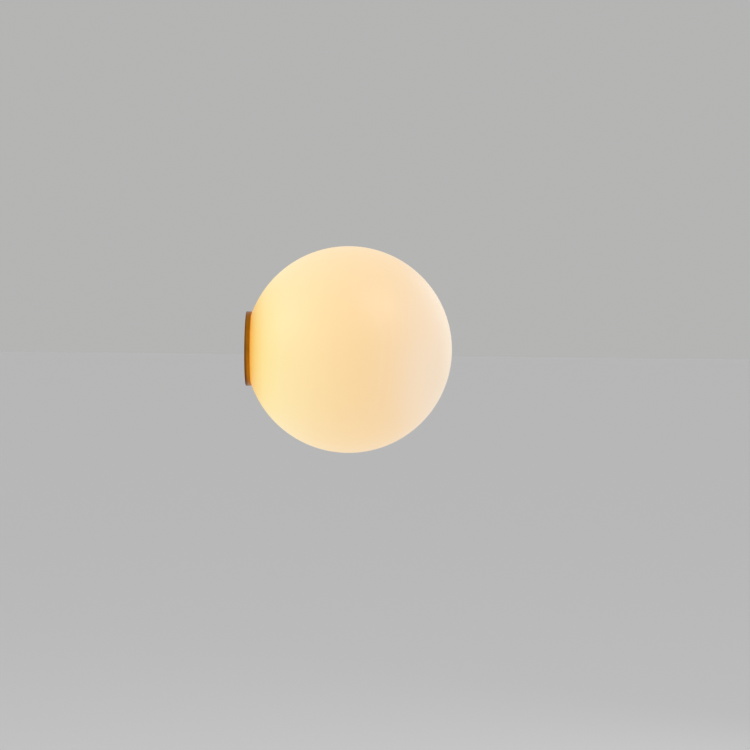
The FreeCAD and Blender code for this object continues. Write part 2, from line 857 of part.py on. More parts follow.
def lamp_pins(doc):
    """The two flat pins, each with its long eye."""
    body = new_body(doc, "lamp_pins")
    top = D.holder_top - D.key_depth + D.lamp_key_gap
    half, eye = D.pin_width / 2, D.pin_eye_width / 2
    middle = D.pin_spacing / 2
    sketch = new_sketch(body, "YZ_Plane")
    blade = [
        (middle - half, top),
        (middle - half, D.pin_foot, D.pin_thick),
        (middle + half, D.pin_foot, D.pin_thick),
        (middle + half, top),
    ]
    draw_chain(sketch, blade)
    draw_chain(sketch, rectangle(middle - eye, D.pin_eye_low, middle + eye, D.pin_eye_high, eye / 2))
    one = pad(body, sketch, D.pin_thick, both_ways=True)
    around(body, [one], 2)
    return body


def lamp_core(doc):
    """The square post inside the lamp, with rows of light chips on its four sides."""
    body = new_body(doc, "lamp_core")
    half = D.lamp_core_half
    post = new_sketch(body, "XY_Plane", (0, 0, D.lamp_neck_top))
    draw_chain(post, rectangle(-half, -half, half, half, D.lamp_chip_thick))
    pad(body, post, D.lamp_core_top - D.lamp_neck_top)
    chips = []
    for row in range(SIZES["lamp_chip_rows"]):
        low = D.lamp_chip_first + row * D.lamp_chip_pitch - D.lamp_chip_height / 2
        side = D.lamp_chip_half
        sketch = new_sketch(body, "XZ_Plane", (0, 0, half - D.lamp_chip_thick))
        draw_chain(sketch, rectangle(-side, low, side, low + D.lamp_chip_height))
        chips.append(pad(body, sketch, 2 * D.lamp_chip_thick))
    around(body, chips, 4)
    return body


def lamp_cover(doc):
    """The lamp's frosted tube, domed at its tip and slipped over the collar's neck."""
    body = new_body(doc, "lamp_cover")
    outer, wall = D.lamp_cover_radius, D.lamp_cover_wall
    inner = outer - wall
    corners = [
        (inner, D.lamp_collar_top),
        (outer, D.lamp_collar_top),
        (outer, D.lamp_tip, outer - wall),
        (0, D.lamp_tip),
        (0, D.lamp_tip - wall),
        (inner, D.lamp_tip - wall, outer - 2 * wall),
    ]
    turn(body, corners)
    return body


# ---------------------------------------------------------------- terminals


def terminal_block(doc):
    """The two-pole block: a moulded base with four screw towers over two conductor tubes."""
    body = new_body(doc, "terminal_block")
    base = new_sketch(body, "XY_Plane", (0, 0, D.boss_height))
    left, right = -D.block_half_x, D.block_half_x
    draw_chain(base, rectangle(left, D.block_bottom_y, right, D.block_top_y, D.nut_chamfer))
    pad(body, base, D.block_height)
    towers = new_sketch(body, "XY_Plane", (0, 0, D.boss_height + D.block_height / 2))
    bores = new_sketch(body, "XY_Plane", (0, 0, D.tower_top))
    for x in (-D.tower_offset, D.tower_offset):
        for y in (D.pole_live_y, D.pole_neutral_y):
            draw_circle(towers, x, y, D.tower_radius)
            draw_circle(bores, x, y, D.clamp_radius + D.hole_gap)
    pad(body, towers, D.tower_top - D.boss_height - D.block_height / 2)
    cut_down(body, bores, D.tower_top - D.pole_height)
    tubes = new_sketch(body, "YZ_Plane")
    for y in (D.pole_live_y, D.pole_neutral_y):
        draw_circle(tubes, y, D.pole_height, D.tube_hole)
    cut_through(body, tubes)
    fixing = new_sketch(body, "XY_Plane")
    middle_y = (D.pole_live_y + D.pole_neutral_y) / 2
    draw_circle(fixing, 0, middle_y, D.block_screw_radius + D.thread_gap)
    cut_through(body, fixing)
    return body


def terminal_sleeves(doc):
    """The brass tube of each pole, tapped from the side for its two clamp screws."""
    body = new_body(doc, "terminal_sleeves")
    tubes = new_sketch(body, "YZ_Plane")
    for y in (D.pole_live_y, D.pole_neutral_y):
        draw_circle(tubes, y, D.pole_height, D.tube_outer)
        draw_circle(tubes, y, D.pole_height, D.tube_bore)
    pad(body, tubes, 2 * D.tube_half, both_ways=True)
    holes = new_sketch(body, "XY_Plane", (0, 0, D.tower_top))
    for x in (-D.tower_offset, D.tower_offset):
        for y in (D.pole_live_y, D.pole_neutral_y):
            draw_circle(holes, x, y, D.clamp_radius + D.thread_gap)
    cut_down(body, holes, D.tower_top - D.pole_height)
    return body


def terminal_screws(doc):
    """Four slotted clamp screws, one at each end of each pole."""
    body = new_body(doc, "terminal_screws")
    half = D.screw_slot_width / 2
    shanks = new_sketch(body, "XY_Plane", (0, 0, D.clamp_tip))
    slots = new_sketch(body, "XY_Plane", (0, 0, D.clamp_top))
    for x in (-D.tower_offset, D.tower_offset):
        for y in (D.pole_live_y, D.pole_neutral_y):
            draw_circle(shanks, x, y, D.clamp_radius)
            reach = 2 * D.clamp_radius
            draw_chain(slots, rectangle(x - reach / 2 - half, y - half, x + reach / 2 + half, y + half))
    pad(body, shanks, D.clamp_top - D.clamp_tip)
    cut_down(body, slots, D.screw_slot_depth)
    return body


def terminal_block_screw(doc):
    """The screw between the poles that holds the block to the base."""
    body = new_body(doc, "terminal_block_screw")
    middle_y = (D.pole_live_y + D.pole_neutral_y) / 2
    seat = D.boss_height + D.block_height
    head, height = D.block_screw_head, D.block_screw_head_height
    tip = D.block_screw_tip
    pan_screw(body, D.block_screw_radius, head, height, tip, seat, (0, 0, -1 * middle_y))
    screw_slot(body, seat + height, head, 0, middle_y)
    return body


def earth_screw(doc):
    """The brass screw that clamps the earth conductor."""
    body = new_body(doc, "earth_screw")
    seat = D.boss_height + D.earth_washer_thick
    head, height = D.earth_screw_head, D.earth_screw_head_height
    shift = (D.earth_x, 0, -1 * D.earth_y)
    pan_screw(body, D.earth_screw_radius, head, height, D.earth_tip, seat, shift)
    screw_slot(body, seat + height, head, D.earth_x, D.earth_y)
    return body


def earth_washer(doc):
    """The cup washer that holds the earth conductor under the screw head."""
    body = new_body(doc, "earth_washer")
    floor = D.boss_height
    bore = D.earth_screw_radius + D.hole_gap
    outer, thick = D.earth_washer_radius, D.earth_washer_thick
    corners = [
        (bore, floor),
        (outer, floor),
        (outer, floor + thick),
        (outer - thick / 2, floor + thick + thick / 2),
        (D.earth_screw_head + D.hole_gap, floor + thick),
        (bore, floor + thick),
    ]
    turn(body, corners, (D.earth_x, 0, -1 * D.earth_y))
    return body


# ---------------------------------------------------------------- leads


def lead_routes():
    """Each lead's route, from its lampholder hole round to the open end of its pole."""
    start_x = SIZES["holder_half_x"] - SIZES["lead_tuck"]
    end_x = SIZES["tube_half"] - SIZES["tube_bore"] / 2
    upper, low = SIZES["lead_height"], SIZES["pole_height"]
    reach = SIZES["pin_spacing"] / 2
    live, neutral = SIZES["pole_live_y"], SIZES["pole_neutral_y"]
    return {
        "lead_live": [
            (start_x, -reach, upper),
            (12.0, -reach, upper),
            (13.0, -12.0, 14.0),
            (12.0, live, low),
            (end_x, live, low),
        ],
        "lead_neutral": [
            (start_x, reach, upper),
            (14.5, reach, upper),
            (17.0, -6.0, 20.0),
            (14.0, -15.5, 15.5),
            (12.5, neutral, low),
            (end_x, neutral, low),
        ],
    }


def rounded_path(points):
    """Straight runs joined by tangent arcs that are as large as the runs beside them allow."""
    points = [Vector(*p) for p in points]
    edges, last = [], points[0]
    for before, corner, after in zip(points, points[1:], points[2:]):
        back, ahead = before - corner, after - corner
        shorter = min(back.Length, ahead.Length)
        half_turn = (math.pi - back.getAngle(ahead)) / 2
        reach = BEND_SHARE * shorter
        radius = reach / math.tan(half_turn)
        back.normalize()
        ahead.normalize()
        start, end = corner + back * reach, corner + ahead * reach
        centre = corner + (back + ahead).normalize() * (radius / math.cos(half_turn))
        middle = centre + (corner - centre).normalize() * radius
        edges += [Part.LineSegment(last, start).toShape(), Part.Arc(start, middle, end).toShape()]
        last = end
        print(f"  bend radius {radius:.1f} mm")
    edges.append(Part.LineSegment(last, points[-1]).toShape())
    return Part.Wire(edges)


def lead(doc, label, route):
    """An insulated lead, swept along its route."""
    radius = float(doc.getObject(SHEET).lead_radius)
    print(label)
    path = rounded_path(route)
    start = Vector(*route[0])
    direction = Vector(*route[1]) - start
    section = Part.Wire(Part.Circle(start, direction, radius).toShape())
    tube = path.makePipeShell([section], True, False)
    expected = math.pi * radius**2 * path.Length
    print(f"  length {path.Length:.1f} mm, volume over expected {tube.Volume / expected:.4f}")
    made = doc.addObject("Part::Feature", label)
    made.Label = label
    made.Shape = tube
    made.Placement = WALL
    return made


# ---------------------------------------------------------------- the assembly


def build(doc):
    nut_bore = D.nipple_radius + D.thread_gap
    back_nut_floor = D.boss_height - D.base_metal - D.back_nut_thick
    stack = D.boss_height + D.spring_thick + D.bracket_thick + D.nipple_washer_thick
    earth_floor = D.boss_height - D.base_metal - D.earth_nut_thick
    parts = [
        wall_plate(doc),
        plate_standoffs(doc),
        brass_base(doc),
        base_washers(doc),
        base_screws(doc),
        hollow_nipple(doc),
        cable_bush(doc),
        hex_nut(doc, "nipple_back_nut", D.nut_flats, nut_bore, back_nut_floor, D.back_nut_thick),
        globe_spring(doc),
        holder_bracket(doc),
        nipple_washer(doc),
        hex_nut(doc, "nipple_front_nut", D.nut_flats, nut_bore, stack, D.front_nut_thick),
        lampholder_body(doc),
        lampholder_contacts(doc),
        lampholder_screws(doc),
        terminal_block(doc),
        terminal_sleeves(doc),
        terminal_screws(doc),
        terminal_block_screw(doc),
        earth_screw(doc),
        earth_washer(doc),
        hex_nut(
            doc,
            "earth_nut",
            D.earth_nut_flats,
            D.earth_screw_radius + D.thread_gap,
            earth_floor,
            D.earth_nut_thick,
            (D.earth_x, D.earth_y),
        ),
        globe_gasket(doc),
        opal_globe(doc),
        lamp_base(doc),
        lamp_pins(doc),
        lamp_core(doc),
        lamp_cover(doc),
    ]
    parts += [lead(doc, label, route) for label, route in lead_routes().items()]
    return parts


def check(doc, parts):
    """Stops before anything is written if an object failed or a shape isn't sound."""
    failed = [o.Label for o in doc.Objects if {"Invalid", "Error"} & set(o.State)]
    if failed:
        raise RuntimeError(f"these objects failed to compute: {failed}")
    for part in parts:
        shape = part.Shape
        if shape.isNull() or not shape.isValid() or not shape.Solids:
            raise RuntimeError(f"{part.Label} has no valid solid")
        if shape.Volume <= 0:
            raise RuntimeError(f"{part.Label} has no volume")


def main():
    doc = new_document()
    parts = build(doc)
    doc.recompute()
    check(doc, parts)
    os.makedirs(OUT_DIR, exist_ok=True)
    for part in parts:
        part.Shape.exportStep(os.path.join(OUT_DIR, f"{part.Label}.step"))
        box = part.Shape.BoundBox
        print(
            f"{part.Label:22s} solids {len(part.Shape.Solids)}  faces {len(part.Shape.Faces):3d}"
            f"  volume {part.Shape.Volume:10.1f}"
            f"  y {box.YMin:7.2f} to {box.YMax:6.2f}  z {box.ZMin:7.2f} to {box.ZMax:6.2f}"
        )


main()
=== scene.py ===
"""Looks of the globe wall sconce: a lit opal glass ball on a spun brass base, and what stands inside.

Lengths are metres in the part's own frame: the wall is the plane y = 0, the ball stands out towards
-Y and +Z is up. In the finishes they are millimetres. The lamp is on, so the ball, the lamp's cover and
the board of chips inside it give light of their own.
"""
import math

import bpy
from mathutils import Euler, Matrix, Vector

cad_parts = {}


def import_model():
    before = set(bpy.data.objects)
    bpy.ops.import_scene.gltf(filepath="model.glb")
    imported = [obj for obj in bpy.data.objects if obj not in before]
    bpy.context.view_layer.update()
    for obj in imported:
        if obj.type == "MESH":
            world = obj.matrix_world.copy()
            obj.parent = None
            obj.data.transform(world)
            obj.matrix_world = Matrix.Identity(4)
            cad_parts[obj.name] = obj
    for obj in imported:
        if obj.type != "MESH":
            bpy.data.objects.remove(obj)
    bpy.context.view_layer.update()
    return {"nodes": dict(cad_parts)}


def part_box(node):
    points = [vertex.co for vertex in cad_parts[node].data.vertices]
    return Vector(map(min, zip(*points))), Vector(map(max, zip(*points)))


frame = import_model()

MM = 0.001
NODES = frame["nodes"]

# ---------------------------------------------------------------- places, worked out from the frame

GLOBE_LOW, GLOBE_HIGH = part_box("opal_globe")
GLOBE_RADIUS = (GLOBE_HIGH.z - GLOBE_LOW.z) / 2
GLOBE_CENTRE = Vector((0, GLOBE_LOW.y + GLOBE_RADIUS, 0))
GLOBE_FRONT = -GLOBE_LOW.y
BRASS_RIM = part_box("brass_base")[1].z

# ---------------------------------------------------------------- camera, as the photograph was taken

FRAME_PIXELS = 750
SENSOR = 36.0
LENS = 85.0
PIXELS_PER_SLOPE = LENS / SENSOR * FRAME_PIXELS
GLOBE_PIXEL_RADIUS = 103.3
GLOBE_PIXEL = (348.7, 349.6)
CAMERA_ROLL = math.radians(0.6)

# ---------------------------------------------------------------- light

BACKGROUND = (0.46, 0.46, 0.455)
DOME_LIGHT = 0.64
FLOOR_DROP = 0.9
FLOOR_RADIUS = 300.0
FLOOR_SIDES = 96
FLOOR_TONE = 0.742
FLOOR_BOUNCE = 0.84
KEY_LIGHT = {"place": (-1.3, -1.4, 1.7), "size": 1.4, "power": 17.0}
FILL_LIGHT = {"place": (1.9, -1.6, 0.5), "size": 1.6, "power": 5.5}
BACK_LIGHT = {"place": (-0.6, 1.9, 0.9), "size": 1.4, "power": 9.0}

# ---------------------------------------------------------------- the ball's glow

# Share of the way from the wall to the ball's front, and the light that the ball gives there.
GLOBE_GLOW = [
    (0.00, (0.66, 0.17, 0.00)),
    (0.03, (0.69, 0.34, 0.00)),
    (0.06, (0.73, 0.48, 0.05)),
    (0.11, (0.72, 0.57, 0.17)),
    (0.20, (0.73, 0.59, 0.26)),
    (0.45, (0.70, 0.46, 0.18)),
    (0.70, (0.65, 0.43, 0.20)),
    (0.88, (0.625, 0.495, 0.39)),
    (1.00, (0.56, 0.455, 0.32)),
]
# Clouds of that many millimetres shift those shares by up to this much at the front, and not at the wall.
CLOUD_SIZE = 70.0
CLOUD_SHIFT = 0.035
# Above and below, the ball's glow is painted paler: painted reflection of the room's light there.
GLOBE_PAINTED_PALE = (0.72, 0.56, 0.35)
GLOBE_PAINTED_PALE_SHARE = 0.4
# The glow of the ball's inside near the mouth and at the far end, and where it changes between them.
GLOBE_INSIDE = ((0.36, 0.14, 0.0), (0.84, 0.68, 0.34))
GLOBE_INSIDE_CHANGE = (0.1, 0.9)
# The thick lip glows less and is fire-polished. The base hides its dim stretch as long as the ball is on.
GLOBE_LIP = (0.34, 0.15, 0.02)
LIP_GLOW_CHANGE = (0.021, 0.025)
LIP_POLISH_CHANGE = (0.03, 0.042)
# The glass's own colour beyond the mouth, and by the mouth painted darker and orange as shade.
GLOBE_BODY_SHADED = ((0.30, 0.13, 0.01), (0.34, 0.28, 0.20))
GLOBE_BODY_SHADED_CHANGE = (0.0, 0.09)
# In millimetres: the glass's thickness, and how far from its middle the looks of its two sides are whole.
GLOBE_WALL = 2.5
GLOBE_WALL_CHANGE = 0.3
# Roughness of the polished places as a share of the etched ones'.
POLISH = 0.35

# ---------------------------------------------------------------- the other finishes, in millimetres

# How far inside the base's edge the brass starts to take the painted warm glow of the lit ball, and has it
# whole.
RIM_GLOW_CHANGE = (1.6, 0.2)
# Painted shade where the rim meets the wall: none beyond the first depth, darkest at the second. The painted
# shade widens downwards.
WALL_SHADE_CHANGE = (-2.2, 0.4)
WALL_SHADE_LEAN = -0.025
# The lamp's light chips: the first row's distance from the wall, the rows' pitch and the number of sides.
CHIP_FIRST = 50.0
CHIP_PITCH = 4.6
CHIP_SIDES = 4.0
# What lies less than this inside the core's outermost faces is a chip, and the rest is the board.
CHIP_MARGIN = 0.3
NIPPLE_THREAD = 1.0

# What the chips' rows and sides add to the frosted cover's even glow, and the sum at which it is brightest.
SPOTS_BY_ROW = 0.3
SPOTS_BY_SIDE = 0.5
EVEN_GLOW = 2.2
FULL_GLOW = 3.0
# The cover's glow fades between these shares of the core's length, from its middle.
GLOW_FADE = (0.3, 0.6)
# The darker places of plated metal and moulded plastic, as a share of their colour.
PLATING_BLOTCHES = 0.82
MOULDING_STREAKS = 0.9


class Finish:
    """A procedural material on one Principled shader, with textures laid out in millimetres."""

    def __init__(self, name, color, roughness, metallic=0.0, **plain):
        self.material = bpy.data.materials.new(name)
        self.material.use_nodes = True
        self.tree = self.material.node_tree
        self.shader = self.tree.nodes["Principled BSDF"]
        self.set("Base Color", (*color, 1.0))
        self.set("Roughness", roughness)
        self.set("Metallic", metallic)
        for socket, value in plain.items():
            self.set(socket.replace("_", " ").title().replace("Ior", "IOR"), value)
        place = self.add("ShaderNodeTexCoord").outputs["Object"]
        self.place = self.scaled(place, (1 / MM,) * 3)

    def set(self, socket, value):
        self.shader.inputs[socket].default_value = value

    def add(self, kind, **settings):
        node = self.tree.nodes.new(kind)
        for name, value in settings.items():
            setattr(node, name, value)
        return node

    def link(self, output, target):
        self.tree.links.new(output, target)

    def scaled(self, vector, factors):
        node = self.add("ShaderNodeVectorMath", operation="MULTIPLY")
        self.link(vector, node.inputs[0])
        node.inputs[1].default_value = factors
        return node.outputs[0]

    def math(self, operation, *values):
        node = self.add("ShaderNodeMath", operation=operation)
        for socket, value in zip(node.inputs, values):
            if isinstance(value, (int, float)):
                socket.default_value = value
            else:
                self.link(value, socket)
        return node.outputs[0]

    def mixture(self, first, first_weight, second, second_weight):
        """The weighted sum of two values."""
        weighted = self.math("MULTIPLY", first, first_weight)
        return self.math("ADD", weighted, self.math("MULTIPLY", second, second_weight))

    def split(self, vector=None):
        node = self.add("ShaderNodeSeparateXYZ")
        self.link(vector or self.place, node.inputs[0])
        return node.outputs["X"], node.outputs["Y"], node.outputs["Z"]

    def round_place(self, centre=(0.0, 0.0)):
        """Radius, depth and angle about an axis that stands out of the wall at centre (x, z)."""
        x, y, z = self.split()
        x = self.math("SUBTRACT", x, centre[0])
        z = self.math("SUBTRACT", z, centre[1])
        radius = self.math("SQRT", self.math("ADD", self.math("MULTIPLY", x, x), self.math("MULTIPLY", z, z)))
        angle = self.math("ARCTAN2", z, x)
        node = self.add("ShaderNodeCombineXYZ")
        for output, socket in zip((radius, y, angle), node.inputs):
            self.link(output, socket)
        return node.outputs[0]

    def from_point(self, point):
        """Distance in millimetres from a point that is given in metres."""
        node = self.add("ShaderNodeVectorMath", operation="DISTANCE")
        self.link(self.place, node.inputs[0])
        node.inputs[1].default_value = point / MM
        return node.outputs["Value"]

    def noise(self, size, detail=3.0, stretch=(1, 1, 1), place=None, roughness=0.5):
        """Noise whose features are about that many millimetres across."""
        node = self.add("ShaderNodeTexNoise")
        vector = self.scaled(place or self.place, tuple(1 / (size * s) for s in stretch))
        self.link(vector, node.inputs["Vector"])
        node.inputs["Scale"].default_value = 1.0
        node.inputs["Detail"].default_value = detail
        node.inputs["Roughness"].default_value = roughness
        return node.outputs["Fac"]

    def cells(self, size):
        """Cells of random grey, about that many millimetres across."""
        node = self.add("ShaderNodeTexVoronoi")
        self.link(self.place, node.inputs["Vector"])
        node.inputs["Scale"].default_value = 1 / size
        grey = self.add("ShaderNodeRGBToBW")
        self.link(node.outputs["Color"], grey.inputs["Color"])
        return grey.outputs["Val"]

    def spread(self, fac, low, high, from_low=0.3, from_high=0.7):
        """Maps a range of values to low..high and holds the ends. The default range is noise's."""
        node = self.add("ShaderNodeMapRange")
        self.link(fac, node.inputs["Value"])
        node.inputs["From Min"].default_value = from_low
        node.inputs["From Max"].default_value = from_high
        node.inputs["To Min"].default_value = low
        node.inputs["To Max"].default_value = high
        return node.outputs["Result"]

    def share(self, fac, start=0.3, end=0.7):
        """How far a value has come from start to end, as 0 to 1."""
        return self.spread(fac, 0.0, 1.0, start, end)

    def blended(self, fac, dark, light):
        """A colour between two colours, which may be fixed or another node's."""
        node = self.add("ShaderNodeMix", data_type="RGBA")
        self.link(fac, node.inputs["Factor"])
        for name, color in (("A", dark), ("B", light)):
            socket = next(s for s in node.inputs if s.name == name and s.type == "RGBA")
            if isinstance(color, tuple):
                socket.default_value = (*color, 1.0)
            else:
                self.link(color, socket)
        return next(s for s in node.outputs if s.type == "RGBA")

    def feed(self, socket, output):
        self.link(output, self.shader.inputs[socket])

    def color(self, fac, dark, light):
        self.feed("Base Color", self.blended(self.share(fac), dark, light))

    def gloss(self, fac, low, high):
        self.feed("Roughness", self.spread(fac, low, high))

    def gloss_about(self, fac, roughness, below=0.08, above=0.1):
        self.gloss(fac, roughness - below, roughness + above)

    def relief(self, fac, height):
        """Bumps of that height in millimetres. Later calls stand on earlier ones."""
        node = self.add("ShaderNodeBump")
        node.inputs["Distance"].default_value = height * MM
        self.link(fac, node.inputs["Height"])
        normal = self.shader.inputs["Normal"]
        if normal.is_linked:
            self.link(normal.links[0].from_socket, node.inputs["Normal"])
        self.link(node.outputs["Normal"], normal)


# ---------------------------------------------------------------- finishes seen in the photograph


def opal_glass():
    """Opal glass with the lamp on behind it: warm near the wall, paler further out.

    Its outside is etched. Its inside and the fire-polished lip are smooth.
    """
    finish = Finish(
        "opal_glass",
        (0.34, 0.29, 0.22),
        0.46,
        ior=1.45,
        emission_strength=1.0,
        sheen_weight=0.28,
        sheen_roughness=0.5,
    )
    _, y, z = finish.split()
    depth = finish.math("DIVIDE", y, -GLOBE_FRONT / MM)
    shell = finish.from_point(GLOBE_CENTRE)
    wall_middle = GLOBE_RADIUS / MM - GLOBE_WALL / 2
    outer = finish.share(shell, wall_middle - GLOBE_WALL_CHANGE, wall_middle + GLOBE_WALL_CHANGE)
    inside = finish.blended(finish.share(depth, *GLOBE_INSIDE_CHANGE), *GLOBE_INSIDE)
    walls = finish.blended(outer, inside, outside_glow(finish, depth, z))
    past_lip = finish.share(depth, *LIP_GLOW_CHANGE)
    finish.feed("Emission Color", finish.blended(past_lip, GLOBE_LIP, walls))
    # Painted shade: the glass's colour is darker and orange by the mouth.
    finish.feed("Base Color", finish.blended(finish.share(depth, *GLOBE_BODY_SHADED_CHANGE), *GLOBE_BODY_SHADED))
    etched = finish.math("MULTIPLY", outer, finish.share(depth, *LIP_POLISH_CHANGE))
    satin = finish.spread(finish.noise(9.0), 0.43, 0.49)
    polish = finish.spread(etched, POLISH, 1.0, 0.0, 1.0)
    finish.feed("Roughness", finish.math("MULTIPLY", satin, polish))
    finish.relief(finish.noise(0.35, detail=2.0), 0.004)
    return finish.material


def outside_glow(finish, depth, z):
    """The glow of the ball's outside, by its share of depth and its height."""
    clouds = finish.spread(finish.noise(CLOUD_SIZE, detail=1.0), -CLOUD_SHIFT, CLOUD_SHIFT)
    ramp = finish.add("ShaderNodeValToRGB")
    ramp.color_ramp.interpolation = "B_SPLINE"
    stops = ramp.color_ramp.elements
    for position, color in GLOBE_GLOW[1:-1]:
        stops.new(position)
    for stop, (position, color) in zip(stops, GLOBE_GLOW):
        stop.position = position
        stop.color = (*color, 1.0)
    finish.link(finish.math("ADD", depth, finish.math("MULTIPLY", depth, clouds)), ramp.inputs["Fac"])
    height = finish.math("DIVIDE", z, GLOBE_RADIUS / MM)
    # Painted paler light towards the top and bottom, standing in for the room's reflected light.
    painted_paleness = finish.math("MULTIPLY", finish.math("MULTIPLY", height, height), GLOBE_PAINTED_PALE_SHARE)
    return finish.blended(painted_paleness, ramp.outputs["Color"], GLOBE_PAINTED_PALE)


def spun_brass():
    """Satin brass with the spinning tool's rings: painted deep orange-brown on its rim as the lit ball's warm
    glow reflected there, with painted shade where it meets the wall, and yellower inside.
    """
    finish = Finish("spun_brass", (0.54, 0.20, 0.02), 0.3, metallic=1.0)
    turned = finish.round_place()
    fine_rings = finish.noise(0.22, detail=4.0, stretch=(1, 1, 6.0), place=turned)
    broad_rings = finish.noise(1.3, detail=2.0, stretch=(1, 1, 1.5), place=turned)
    patches = finish.noise(14.0, detail=4.0)
    shade = finish.mixture(patches, 0.6, broad_rings, 0.4)
    lightness = finish.share(shade)
    # Painted warm glow: the rim's brass is a deep orange-brown, as the lit ball's light reflected in it.
    painted_glow_brass = finish.blended(lightness, (0.54, 0.18, 0.009), (0.68, 0.26, 0.018))
    yellow = finish.blended(lightness, (0.58, 0.34, 0.09), (0.74, 0.46, 0.14))
    radius, _, _ = finish.split(turned)
    on_rim = finish.share(radius, *(BRASS_RIM / MM - inset for inset in RIM_GLOW_CHANGE))
    metal = finish.blended(on_rim, yellow, painted_glow_brass)
    _, depth, z = finish.split()
    # Painted shade where the rim meets the wall, wider towards the bottom.
    edge_reach = finish.math("ADD", depth, finish.math("MULTIPLY", z, WALL_SHADE_LEAN))
    unshaded = finish.spread(edge_reach, 1.0, 0.0, *WALL_SHADE_CHANGE)
    finish.feed("Base Color", finish.blended(unshaded, (0.13, 0.025, 0.001), metal))
    wear = finish.mixture(fine_rings, 0.4, shade, 0.6)
    finish.gloss(wear, 0.2, 0.44)
    finish.relief(broad_rings, 0.012)
    finish.relief(fine_rings, 0.008)
    return finish.material


# ---------------------------------------------------------------- finishes of the inner pieces


def plated_steel(name, tint, roughness=0.32, thread_pitch=None):
    """Plated metal: faint blotches of tint and a rolled grain, and a thread where it has one."""
    dark = tuple(PLATING_BLOTCHES * c for c in tint)
    finish = Finish(name, tint, roughness, metallic=1.0)
    blotches = finish.noise(3.5, detail=5.0)
    finish.color(blotches, dark, tint)
    finish.gloss_about(finish.noise(1.1, detail=4.0), roughness)
    finish.relief(finish.noise(0.25, detail=2.0), 0.004)
    if thread_pitch:
        _, depth, angle = finish.split(finish.round_place())
        turns = finish.mixture(depth, 1 / thread_pitch, angle, 1 / math.tau)
        finish.relief(finish.math("PINGPONG", turns, 0.5), thread_pitch)
    return finish.material


def galvanised_sheet():
    """Galvanised sheet with its crystal spangle and a few rubbed places."""
    finish = Finish("galvanised_sheet", (0.6, 0.62, 0.64), 0.4, metallic=1.0)
    spangle = finish.cells(3.2)
    finish.color(spangle, (0.46, 0.48, 0.5), (0.66, 0.68, 0.7))
    finish.gloss(finish.noise(6.0, detail=5.0), 0.3, 0.52)
    finish.relief(spangle, 0.006)
    return finish.material


def spring_strip():
    """Cold-rolled spring strip, grey with long rolling lines and a bluish oil film."""
    finish = Finish("spring_strip", (0.5, 0.52, 0.55), 0.26, metallic=1.0)
    lines = finish.noise(0.5, detail=4.0, stretch=(14.0, 14.0, 1.0))
    finish.color(finish.noise(8.0, detail=4.0), (0.40, 0.42, 0.46), (0.58, 0.60, 0.62))
    finish.gloss(lines, 0.18, 0.36)
    finish.relief(lines, 0.006)
    return finish.material


def plain_brass(name, centre=(0.0, 0.0)):
    """Drawn or turned brass of a small terminal part."""
    finish = Finish(name, (0.72, 0.52, 0.22), 0.28, metallic=1.0)
    finish.color(finish.noise(1.6, detail=4.0), (0.60, 0.41, 0.15), (0.76, 0.57, 0.26))
    rings = finish.noise(0.2, detail=3.0, stretch=(1, 1, 6.0), place=finish.round_place(centre))
    finish.gloss(rings, 0.2, 0.38)
    finish.relief(rings, 0.006)
    return finish.material


def steatite():
    """Unglazed ceramic: off-white, speckled, with a pressed grain."""
    finish = Finish("steatite", (0.80, 0.77, 0.69), 0.62, ior=1.5)
    specks = finish.noise(0.45, detail=2.0, roughness=0.7)
    finish.color(specks, (0.62, 0.57, 0.47), (0.83, 0.80, 0.73))
    finish.gloss(finish.noise(2.5, detail=3.0), 0.55, 0.72)
    finish.relief(finish.noise(0.3, detail=4.0), 0.02)
    return finish.material


def moulded(name, light, roughness, clear=0.0):
    """Moulded plastic with a spark-eroded grain and slight flow marks."""
    dark = tuple(MOULDING_STREAKS * c for c in light)
    finish = Finish(name, light, roughness, ior=1.49, coat_weight=clear, coat_roughness=0.12)
    finish.color(finish.noise(5.0, detail=3.0), dark, light)
    finish.gloss_about(finish.noise(0.8, detail=3.0), roughness, below=0.06, above=0.08)
    finish.relief(finish.noise(0.18, detail=2.0), 0.006)
    return finish.material


def rubbery(name, dark, light, roughness=0.55):
    """Silicone rubber: soft sheen, dusted here and there."""
    finish = Finish(
        name, light, roughness, ior=1.42, sheen_weight=0.15, subsurface_weight=0.2, subsurface_scale=MM
    )
    finish.color(finish.noise(4.0, detail=4.0), dark, light)
    finish.gloss_about(finish.noise(1.5, detail=3.0), roughness)
    finish.relief(finish.noise(0.3, detail=2.0), 0.006)
    return finish.material


def frosted_cover():
    """The lamp's frosted tube: the chips on the core's four sides show as soft bright spots."""
    finish = Finish("frosted_cover", (0.62, 0.55, 0.43), 0.5, ior=1.5, emission_strength=1.0)
    _, depth, angle = finish.split(finish.round_place())
    along = finish.math("DIVIDE", finish.math("ADD", depth, CHIP_FIRST), CHIP_PITCH / math.tau)
    rows = finish.math("COSINE", along)
    sides = finish.math("COSINE", finish.math("MULTIPLY", angle, CHIP_SIDES))
    spots = finish.mixture(rows, SPOTS_BY_ROW, sides, SPOTS_BY_SIDE)
    low, high = (corner.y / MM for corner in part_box("lamp_core"))
    from_middle = finish.math("ABSOLUTE", finish.math("SUBTRACT", depth, (low + high) / 2))
    fade = finish.spread(from_middle, 1.0, 0.0, *((high - low) * reach for reach in GLOW_FADE))
    glow = finish.math("MULTIPLY", finish.math("ADD", spots, EVEN_GLOW), fade)
    bright = finish.share(glow, 0.0, FULL_GLOW)
    finish.feed("Emission Color", finish.blended(bright, (0.42, 0.27, 0.12), (1.0, 0.82, 0.50)))
    finish.gloss(finish.noise(2.0), 0.44, 0.56)
    finish.relief(finish.noise(0.25, detail=2.0), 0.006)
    return finish.material


